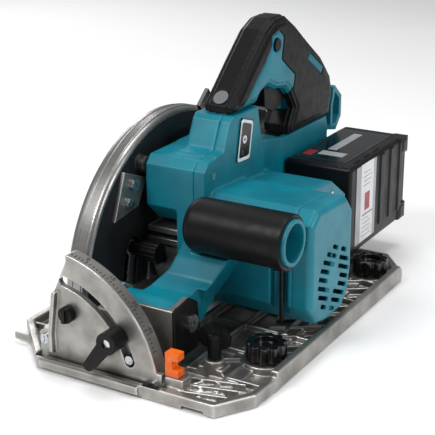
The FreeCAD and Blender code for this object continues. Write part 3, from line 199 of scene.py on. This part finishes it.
def softened(node, voxel, rounds, keep, materials, body, slot, extra=None, cutter=None):
    """A copy of a CAD node, with what is cast onto it, given the round edges of a moulding."""
    shape = bmesh.new()
    shape.from_mesh(nodes[node].data)
    bmesh.ops.remove_doubles(shape, verts=shape.verts, dist=1e-6)
    if extra:
        added = bpy.data.meshes.new(node + "_extra")
        extra.to_mesh(added)
        extra.free()
        shape.from_mesh(added)
        bpy.data.meshes.remove(added)
    mesh = bpy.data.meshes.new(node + "_rough")
    shape.to_mesh(mesh)
    shape.free()
    rough = bpy.data.objects.new(node + "_rough", mesh)
    bpy.context.scene.collection.objects.link(rough)
    remesh = rough.modifiers.new("one_skin", "REMESH")
    remesh.mode = "VOXEL"
    remesh.voxel_size = voxel * MM
    remesh.use_smooth_shade = True
    tool = None
    if cutter:
        tool_mesh = bpy.data.meshes.new(node + "_tool")
        cutter.to_mesh(tool_mesh)
        cutter.free()
        tool = bpy.data.objects.new(node + "_tool", tool_mesh)
        bpy.context.scene.collection.objects.link(tool)
        cut = rough.modifiers.new("openings", "BOOLEAN")
        cut.operation = "DIFFERENCE"
        cut.solver = "FAST"
        cut.object = tool
        again = rough.modifiers.new("one_skin_again", "REMESH")
        again.mode = "VOXEL"
        again.voxel_size = voxel * MM
        again.use_smooth_shade = True
    smooth = rough.modifiers.new("round_edges", "SMOOTH")
    smooth.factor = 0.5
    smooth.iterations = rounds
    thin = rough.modifiers.new("fewer_faces", "DECIMATE")
    thin.ratio = keep
    bpy.context.view_layer.update()
    done = bpy.data.meshes.new_from_object(rough.evaluated_get(bpy.context.evaluated_depsgraph_get()))
    done.name = node
    bpy.data.objects.remove(rough)
    if tool:
        bpy.data.objects.remove(tool)
    return placed(node + "_moulding", done, materials, body, slot, node)


cast_aluminium, tree, shader, tint = surface(
    "shot_blasted_die_cast_aluminium", ("#aaa7a2", "#8b8883"), 22, (0.3, 0.44), 0.8, 0.07, metallic=0.88)
worn = add(tree, "ShaderNodeNewGeometry")
edge = add(tree, "ShaderNodeMapRange",
           {"Value": worn.outputs["Pointiness"], "From Min": 0.5, "From Max": 0.57})
rubbed = add(tree, "ShaderNodeMix", {0: edge.outputs[0], 6: tint.outputs[2], 7: srgb("#d8d7d4")},
             data_type="RGBA")
tree.links.new(rubbed.outputs[2], shader.inputs["Base Color"])

base_low, base_high = (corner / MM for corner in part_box("base_plate"))
RIB = 2.6
RIB_ROOT = 3
RIB_TOP = 11.5
CORNER_STEP = 12
CORNER_TURN = -28
CROSS_STEP = 13
CROSS_TURN = 14
ZIGZAG_STEP = 25
ZIGZAG_TURN = 34
LEFT_STEP = 26
KNOB_BOSS_R = 22
KNOB_BOSS_DEPTH = 8.0
ribs = bmesh.new()
right = base_high.x
front = base_low.y
for step in range(4):
    x = right - 74 + CORNER_STEP * step
    brick(ribs, (x, front + 10, RIB_ROOT), (x + RIB, front + 44, RIB_TOP - step), CORNER_TURN)
for step in range(3):
    y = front + 14 + CROSS_STEP * step
    brick(ribs, (right - 76, y, RIB_ROOT), (right - 18, y + RIB, RIB_TOP), CROSS_TURN)
for y in range(int(front) + 96, int(base_high.y) - 40, ZIGZAG_STEP):
    lean = ZIGZAG_TURN if y % (2 * ZIGZAG_STEP) else -ZIGZAG_TURN
    brick(ribs, (right - 66, y, RIB_ROOT), (right - 8, y + RIB, RIB_TOP - 1), lean)
for y in range(int(front) + 30, int(base_high.y) - 30, LEFT_STEP):
    brick(ribs, (base_low.x + 6, y, RIB_ROOT), (base_low.x + 26, y + RIB, RIB_TOP - 1))
for node in ("front_rail_knob", "rear_rail_knob"):
    low, high = (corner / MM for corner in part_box(node))
    middle = (low + high) / 2
    drum(ribs, (middle.x, middle.y, 7.0), KNOB_BOSS_R, KNOB_BOSS_DEPTH)
ledge_left, ledge_right = base_low.x + 62, right - 96
brick(ribs, (ledge_left, front - 2.5, 3.5), (ledge_right, front + 3, 9))
brick(ribs, (ledge_left, front - 2.5, 7.5), (ledge_right, front + 8, 10.5))
softened("base_plate", 0.95, 3, 0.22, [cast_aluminium], "base", "cast_metal", ribs)


# ---- bevel quadrants ---------------------------------------------------------------------------
# Die-cast sectors that stand across the base, screwed to it at both ends. The front one has a
# degree scale on its flange, with its marks and numbers filled dark.
softened("front_quadrant", 0.7, 4, 0.3, [cast_aluminium], "base", "cast_metal")
softened("rear_quadrant", 0.8, 3, 0.3, [cast_aluminium], "base", "cast_metal")

ink = surface("dark_filled_scale_mark", ("#35353a", "#2b2b30"), 3, (0.5, 0.6), 0.4, 0.01)[0]
quad_low, quad_high = (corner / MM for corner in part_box("front_quadrant"))
QUADRANT_R = quad_high.z + 1.8
TEN_MARK = 4.4
SHORT_MARK = 2.4
MARK_WIDTH = 0.7
MARK_ROW = quad_low.y + 10.5
NUMBER_ROW = quad_low.y + 15.5
NUMBER_SIZE = 6.2
marks = bmesh.new()
for degree in range(20, 80, 2):
    long = TEN_MARK if degree % 10 == 0 else SHORT_MARK
    verts = brick(marks, (-MARK_WIDTH / 2, -long / 2, -0.2), (MARK_WIDTH / 2, long / 2, 0.2))
    bmesh.ops.translate(marks, vec=(0, MARK_ROW * MM, (QUADRANT_R + 0.12) * MM), verts=verts)
    swing = Matrix.Rotation(math.pi / 2 - math.radians(degree), 3, "Y")
    bmesh.ops.rotate(marks, cent=(0, 0, 0), matrix=swing, verts=verts)
mesh = bpy.data.meshes.new("bevel_scale_marks")
marks.to_mesh(mesh)
marks.free()
placed("bevel_scale_marks", mesh, [ink], "base", "cast_metal")
for number, degree in (("45", 29), ("30", 42), ("15", 57), ("0", 71)):
    words = bpy.data.curves.new("scale_number", "FONT")
    words.body = number
    words.size = NUMBER_SIZE * MM
    words.extrude = 0.15 * MM
    words.align_x = "CENTER"
    words.align_y = "CENTER"
    sign = bpy.data.objects.new("scale_number", words)
    bpy.context.scene.collection.objects.link(sign)
    bpy.context.view_layer.update()
    mesh = bpy.data.meshes.new_from_object(sign.evaluated_get(bpy.context.evaluated_depsgraph_get()))
    bpy.data.objects.remove(sign)
    turn = Matrix.Rotation(math.pi / 2 - math.radians(degree), 4, "Y")
    lift = Matrix.Translation((0, NUMBER_ROW * MM, (QUADRANT_R + 0.1) * MM))
    mesh.transform(turn @ lift)
    placed("scale_number_" + number, mesh, [ink], "base", "cast_metal")


# ---- knobs, levers and stops of the base -------------------------------------------------------
# Glass-filled nylon, moulded black with a light spark-eroded texture, rounded where fingers press.
# The two star knobs come glossy from a polished mould. The slide lever is bright orange acetal.
black_nylon = surface("moulded_nylon_black", ("#111112", "#0a0a0b"), 10, (0.32, 0.44), 0.5, 0.045,
                      Specular_IOR_Level=0.18)[0]
orange_acetal = surface("moulded_acetal_orange", ("#f2700f", "#e35d08"), 6, (0.3, 0.4), 0.5, 0.02)[0]
for node, body, voxel in (
        ("positive_stopper", "positive_stopper", 0.4), ("fence_bolt", "fence_bolt", 0.4),
        ("front_bevel_lever", "front_bevel_lever", 0.45), ("rear_bevel_lever", "rear_bevel_lever", 0.45),
        ("depth_lever", "depth_lever", 0.5)):
    softened(node, voxel, 5, 0.35, [black_nylon], body, "black_plastic")
polished_nylon = surface("polished_nylon_black", ("#121213", "#0b0b0c"), 10, (0.14, 0.24), 0.7, 0.02,
                         Coat_Weight=0.3, Coat_Roughness=0.12)[0]
for node in ("front_rail_knob", "rear_rail_knob"):
    softened(node, 0.5, 5, 0.35, [polished_nylon], node, "black_plastic")
softened("slide_lever", 0.35, 4, 0.4, [orange_acetal], "slide_lever", "orange_plastic")


# ---- tilting frame -----------------------------------------------------------------------------
# The brackets are castings, and the front one has a black cover on its right cheek. The depth
# guide is bright rolled steel, the blade is ground, and the studs, pins and screws are zinc plated.
def second_material_faces(piece, test):
    """Gives the faces that pass a test, made on their middle in mm and their normal, slot two."""
    for polygon in piece.data.polygons:
        if test(polygon.center / MM, polygon.normal):
            polygon.material_index = 1


bracket = softened("front_bracket", 0.8, 4, 0.3, [cast_aluminium, black_nylon], "tilt_frame",
                   "cast_metal")
COVER_THICK = 3.0
bracket_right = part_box("front_bracket")[1].x / MM
second_material_faces(bracket, lambda middle, normal: middle.x > bracket_right - COVER_THICK)

zinc = surface("zinc_plated_steel", ("#cdd0d4", "#a5a8ad"), 4, (0.18, 0.32), 0.4, 0.012,
               metallic=1.0)[0]
rolled_steel = surface("bright_rolled_steel", ("#bdbcba", "#9c9b99"), 9, (0.22, 0.36), 0.3, 0.012,
                       metallic=1.0)[0]
ground_steel = surface("ground_tool_steel", ("#b5b4b2", "#8f8e8c"), 12, (0.2, 0.32), 0.25, 0.015,
                       metallic=1.0)[0]


def dress(material, *names):
    """Gives a material to CAD nodes that stay as they are."""
    for name in names:
        nodes[name].data.materials.clear()
        nodes[name].data.materials.append(material)


dress(zinc, "quadrant_screws", "guide_screws", "case_screws", "bevel_studs", "pivot_pin",
      "depth_clamp_bolt", "blade_bolt", "blade_flanges", "guard_spring")
dress(rolled_steel, "depth_guide")
dress(ground_steel, "blade", "spindle", "drive_gear", "bearings")
dress(cast_aluminium, "rear_bracket")


# ---- blade case and lower guard ----------------------------------------------------------------
# Magnesium castings. The case is bright on its rim. Inside the rim it carries painted shade, a dark
# copy of the casting. Two beads run round the rim. The lever of the guard and the dust nozzle are
# black nylon.
cast_magnesium = surface("blasted_magnesium_casting", ("#a4a3a1", "#878684"), 26, (0.26, 0.4), 0.9, 0.05,
                         metallic=0.9)[0]
# Painted shade: a dark copy of the casting for the case's faces inside its rim and those facing the motor,
# where shade falls.
painted_shade_casting = surface("casting_dark_painted_shade", ("#2c2c2d", "#1d1d1e"), 24, (0.34, 0.48), 0.9, 0.05,
                      metallic=0.35)[0]
case_low, case_high = (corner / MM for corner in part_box("blade_case"))
SPINDLE_R = 8.0
spindle_low, spindle_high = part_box("spindle")
ARBOR = Vector((0.0, spindle_low.y / MM + SPINDLE_R, (spindle_low.z + spindle_high.z) / 2 / MM))
case_r = (case_high.y - case_low.y) / 2
RIM_WIDTH = 9
RIM_STEP = 5
case = softened("blade_case", 0.95, 5, 0.25, [cast_magnesium, painted_shade_casting], "saw_head", "cast_metal")


def within_rim(middle, normal):
    """Whether a face of the case is inside its bright rim, and so takes the dark painted shade."""
    reach = math.hypot(middle.y - ARBOR.y, middle.z - ARBOR.z)
    return reach < case_r - RIM_WIDTH or normal.x > 0.35 and reach < case_r - RIM_STEP


# Lays the dark painted shade on the case's faces inside the rim.
second_material_faces(case, within_rim)
BEAD_SUNK = 0.3
BEAD_R = 0.9
BEAD_HALF_SWEEP = 86
for name, x in (("outer", -6.5), ("inner", 2.5)):
    bead = bmesh.new()
    ring = bmesh.ops.create_circle(bead, cap_ends=False, segments=8, radius=BEAD_R * MM)["verts"]
    upright = Matrix.Rotation(math.pi / 2, 3, "X")
    bmesh.ops.rotate(bead, cent=(0, 0, 0), matrix=upright, verts=ring)
    top = Vector((x, ARBOR.y, ARBOR.z + case_r - BEAD_SUNK))
    bmesh.ops.translate(bead, vec=top * MM, verts=ring)
    back = Matrix.Rotation(math.radians(-BEAD_HALF_SWEEP), 3, "X")
    bmesh.ops.rotate(bead, cent=ARBOR * MM, matrix=back, verts=ring)
    bmesh.ops.spin(bead, geom=bead.verts[:] + bead.edges[:], cent=ARBOR * MM, axis=(1, 0, 0),
                   dvec=(0, 0, 0), angle=math.radians(2 * BEAD_HALF_SWEEP), steps=96)
    bmesh.ops.recalc_face_normals(bead, faces=bead.faces)
    mesh = bpy.data.meshes.new("case_bead")
    bead.to_mesh(mesh)
    bead.free()
    mesh.shade_smooth()
    placed("case_bead_" + name, mesh, [cast_magnesium], "saw_head", "cast_metal")

softened("lower_guard", 1.2, 3, 0.3, [cast_magnesium], "lower_guard", "guard_metal")
softened("guard_lever", 0.45, 4, 0.4, [black_nylon], "lower_guard", "guard_metal")
softened("case_bracket", 0.5, 3, 0.4, [cast_aluminium], "saw_head", "gear_metal")
softened("gear_case", 0.9, 4, 0.25, [cast_magnesium], "saw_head", "gear_metal")
softened("dust_nozzle", 0.8, 3, 0.3, [black_nylon], "saw_head", "black_plastic")


# ---- motor and inner pieces --------------------------------------------------------------------
# Blued laminations in the stator and the rotor, then nylon: the fan, the plastic blocks, which show
# only through vents, and the two small buttons outside.
laminations = surface("blued_stamped_laminations", ("#4a4d55", "#3a3c42"), 3, (0.3, 0.45), 0.5, 0.05,
                      metallic=0.8)[0]
dress(laminations, "stator", "rotor")
dress(black_nylon, "fan", "switch_block", "controller", "battery_terminal", "lock_off_button",
      "shaft_lock_button")


# ---- teal body, arm and end cover --------------------------------------------------------------
# Glass-filled nylon, moulded in teal in two halves and an end cover. A spark-eroded mould leaves a
# fine matt grain, a little glossier in patches. The screws are zinc plated, the hex key blackened.
teal_nylon = surface("moulded_glass_filled_nylon_teal", ("#077d8f", "#056b7c"), 34, (0.32, 0.42), 0.5,
                     0.04, Specular_IOR_Level=0.38)[0]
softened("housing_left", 1.0, 9, 0.22, [teal_nylon], "saw_head", "body_plastic")
softened("housing_right", 1.0, 9, 0.22, [teal_nylon], "saw_head", "body_plastic")
softened("pivot_arm", 1.0, 12, 0.25, [teal_nylon], "saw_head", "body_plastic")
HUB_R = 7.5
HUB_DEPTH = 3.0
cover_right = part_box("motor_end_cover")[1].x / MM
shaft = sum(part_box("rotor"), Vector()) / 2 / MM
hub = bmesh.new()
drum(hub, (cover_right - HUB_DEPTH / 2, shaft.y, shaft.z), HUB_R, HUB_DEPTH, "X")
softened("motor_end_cover", 0.75, 5, 0.3, [teal_nylon], "saw_head", "body_plastic", hub)
dress(zinc, "housing_screws")
black_steel = surface("blackened_tool_steel", ("#2a2a2b", "#1d1d1e"), 5, (0.3, 0.4), 0.3, 0.01,
                      metallic=0.7)[0]
dress(black_steel, "hex_wrench")


# ---- side grip ---------------------------------------------------------------------------------
# A hollow teal nylon core with its end open, overmoulded with a soft black elastomer sleeve.
elastomer = surface("moulded_elastomer_black", ("#121212", "#0b0b0c"), 9, (0.34, 0.46), 0.7, 0.06,
                    Specular_IOR_Level=0.18)[0]
softened("grip_core", 0.8, 4, 0.3, [teal_nylon], "saw_head", "body_plastic")
softened("grip_rubber", 0.8, 10, 0.3, [elastomer], "saw_head", "rubber")


# ---- main handle -------------------------------------------------------------------------------
# Two teal halves screwed together under a black elastomer skin, with a trigger of moulded black
# nylon under the bridge and a teal loop for the strap behind.
softened("handle_left", 0.9, 8, 0.25, [teal_nylon], "saw_head", "body_plastic")
softened("handle_right", 0.9, 8, 0.25, [teal_nylon], "saw_head", "body_plastic")
softened("handle_rubber", 0.75, 9, 0.3, [elastomer], "saw_head", "rubber")
softened("trigger", 0.5, 6, 0.35, [black_nylon], "trigger", "black_plastic")
softened("strap_hook", 0.5, 6, 0.35, [teal_nylon], "saw_head", "body_plastic")


# ---- indicator and deck panels -----------------------------------------------------------------
# A black polycarbonate plate glued to the neck, with a white border, a ring symbol and a small
# window for the lamp laid on its face. The dark panel on the rear body is a nylon plate.
white_ink = surface("white_printed_border", ("#eceff0", "#dfe3e4"), 5, (0.4, 0.5), 0.5, 0.005)[0]
black_film = surface("black_polycarbonate_film", ("#0d0e10", "#08090a"), 8, (0.16, 0.24), 0.8, 0.004)[0]
window = surface("smoked_indicator_window", ("#3d6a70", "#2c5258"), 2, (0.1, 0.16), 0.6, 0.002)[0]
dress(black_film, "indicator_panel")


def sheet(shape, corners, x, thick):
    """Adds a flat sheet that faces right: its corners are (y, z) in mm, its back stands at x."""
    low = [shape.verts.new((x * MM, y * MM, z * MM)) for y, z in corners]
    high = [shape.verts.new(((x + thick) * MM, y * MM, z * MM)) for y, z in corners]
    shape.faces.new(low)
    shape.faces.new(high)
    for i in range(len(corners)):
        j = (i + 1) % len(corners)
        shape.faces.new((low[i], low[j], high[j], high[i]))
    bmesh.ops.recalc_face_normals(shape, faces=shape.faces)


def finished(shape, name, material, body, slot):
    """Makes an object of a built shape, with one material."""
    mesh = bpy.data.meshes.new(name)
    shape.to_mesh(mesh)
    shape.free()
    placed(name, mesh, [material], body, slot)


SHEET_SUNK = 0.2
BORDER_THICK = 0.45
SYMBOL_THICK = 0.4
BORDER_INNER = 0.84
sheet_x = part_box("indicator_panel")[1].x / MM - SHEET_SUNK
panel_mid = sum(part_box("indicator_panel"), Vector()) / 2 / MM
PANEL_CORNERS = ((-15.5, -17.5), (-7.5, 19.0), (-4.5, 20.5), (13.0, 15.0), (14.0, 12.0), (7.5, -19.5),
                 (4.5, -20.5), (-14.0, -19.5))
border = bmesh.new()
for i in range(len(PANEL_CORNERS)):
    near, far = Vector(PANEL_CORNERS[i - 1]), Vector(PANEL_CORNERS[i])
    strip = ((near, 1.0), (far, 1.0), (far, BORDER_INNER), (near, BORDER_INNER))
    sheet(border, [(panel_mid.y + p.x * k, panel_mid.z + p.y * k) for p, k in strip], sheet_x, BORDER_THICK)
finished(border, "indicator_border", white_ink, "saw_head", "black_plastic")

RING_SIDES = 32
RING_OUTER = 3.9
RING_INNER = 1.5
RING_SHIFT = -1.5
ring_y = panel_mid.y + RING_SHIFT
ring = bmesh.new()
for i in range(RING_SIDES):
    a, b = (2 * math.pi * step / RING_SIDES for step in (i, i + 1))
    strip = ((a, RING_OUTER), (b, RING_OUTER), (b, RING_INNER), (a, RING_INNER))
    corners = [(ring_y + r * math.cos(t), panel_mid.z + r * math.sin(t)) for t, r in strip]
    sheet(ring, corners, sheet_x, SYMBOL_THICK)
finished(ring, "indicator_ring", white_ink, "saw_head", "black_plastic")

WINDOW_CORNERS = ((-7.5, -14), (-4.5, -14.5), (-4.0, -9.5), (-7.0, -9))
glass = bmesh.new()
sheet(glass, [(panel_mid.y + y, panel_mid.z + z) for y, z in WINDOW_CORNERS], sheet_x, SYMBOL_THICK)
finished(glass, "indicator_window", window, "saw_head", "black_plastic")

DECK_TOP = 150.0
DECK_SUNK = 1.5
DECK_PROUD = 0.8
deck = bmesh.new()
brick(deck, (41, 246, DECK_TOP - DECK_SUNK), (70, 334, DECK_TOP + DECK_PROUD))
finished(deck, "rear_deck_panel", black_nylon, "saw_head", "black_plastic")


# ---- battery -----------------------------------------------------------------------------------
# A slide-on pack in black ABS: bumpers at its right rear corners, long slots along its top edge,
# three upright ribs behind the side label. The labels are film with blocks of colour and no words.
abs_black = surface("moulded_abs_black", ("#131314", "#0c0c0d"), 18, (0.28, 0.4), 0.6, 0.035,
                    Specular_IOR_Level=0.2)[0]
label_grey = surface("label_film_slate", ("#22343c", "#1b2a31"), 20, (0.24, 0.32), 1.0, 0.003)[0]
label_pale = surface("label_film_pale_grey", ("#a9abae", "#9a9c9f"), 14, (0.28, 0.36), 1.0, 0.003)[0]
label_white = surface("label_film_white", ("#e6e6e8", "#dadadc"), 14, (0.3, 0.4), 1.0, 0.003)[0]
label_red = surface("label_film_red", ("#a3222c", "#8c1a24"), 8, (0.28, 0.36), 1.0, 0.003)[0]
pack_low, pack_high = (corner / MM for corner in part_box("battery"))
left, front, under = pack_low
side, rear, top = pack_high
SLOT_LENGTH = 18
BUMPER_HEIGHT = 18
RIB_WIDTH = 9
cuts = bmesh.new()
for y in (front + 19, front + 42, front + 65):
    brick(cuts, (side - 6.5, y, top - 1.8), (side - 4.2, y + SLOT_LENGTH, top + 2))
    brick(cuts, (side - 11.5, y, top - 1.4), (side - 9.8, y + SLOT_LENGTH, top + 2))
brick(cuts, (side - 9, front - 2, top - 86), (side - 7.6, front + 2.0, top - 12))
moulded_on = bmesh.new()
for z in (top - BUMPER_HEIGHT, under + 1):
    brick(moulded_on, (side - 14, rear - 19, z), (side + 1.6, rear - 0.1, z + BUMPER_HEIGHT))
    brick(moulded_on, (side - 3, rear - 15, z + 3), (side + 2.6, rear - 5, z + BUMPER_HEIGHT - 3))
for y in (rear - 72, rear - 47, rear - 22):
    brick(moulded_on, (side - 1, y, under + 14), (side + 1.6, y + RIB_WIDTH, top - 4))
brick(moulded_on, (left + 1, front + 3, top - 2), (side - 14, front + 7, top + 0.8))
softened("battery", 0.8, 4, 0.3, [abs_black], "battery", "black_plastic", moulded_on, cuts)
dress(abs_black, "battery_button")

# Each film is given by its height over the face and two corners. The top films' corners are measured
# from the left and front edges, and the side films' from the front edge and the bottom.
FILM_SUNK = 0.5
for name, material, proud, low, high in (
        ("top_label_edge", label_grey, 0.25, (3, 17), (61, 132)),
        ("top_label_face", black_film, 0.45, (6, 20), (57, 127)),
        ("top_label_bar", label_pale, 0.6, (24, 52), (34, 119)),
        ("top_label_block", label_pale, 0.6, (22, 32), (50, 46)),
        ("top_label_tag", label_red, 0.6, (8, 24), (18, 42))):
    film = bmesh.new()
    brick(film, (left + low[0], front + low[1], top - FILM_SUNK),
          (left + high[0], front + high[1], top + proud))
    finished(film, name, material, "battery", "black_plastic")
for name, material, proud, low, high in (
        ("side_label", label_white, 0.3, (14, 8), (63, 92)),
        ("side_label_bar", label_pale, 0.42, (14, 8), (26, 92)),
        ("side_label_edge", label_pale, 0.42, (57, 8), (63, 92)),
        ("side_label_rule", ink, 0.42, (30, 36), (56, 37)),
        ("side_label_mark", label_red, 0.42, (36, 41), (48, 60))):
    film = bmesh.new()
    brick(film, (side - FILM_SUNK, front + low[0], under + low[1]),
          (side + proud, front + high[0], under + high[1]))
    finished(film, name, material, "battery", "black_plastic")

LINE_ROWS = 16
LINE_PITCH = 4.6
LINE_THICK = 1.1
lines = bmesh.new()
for row in range(LINE_ROWS):
    y = front + 30 + (row % 2) * 1.5
    height = 13 + LINE_PITCH * row
    if not 38 < height < 64:
        brick(lines, (side + 0.2, y, under + height),
              (side + 0.42, y + 22 - (row * 5) % 7, under + height + LINE_THICK))
finished(lines, "side_label_lines", label_pale, "battery", "black_plastic")
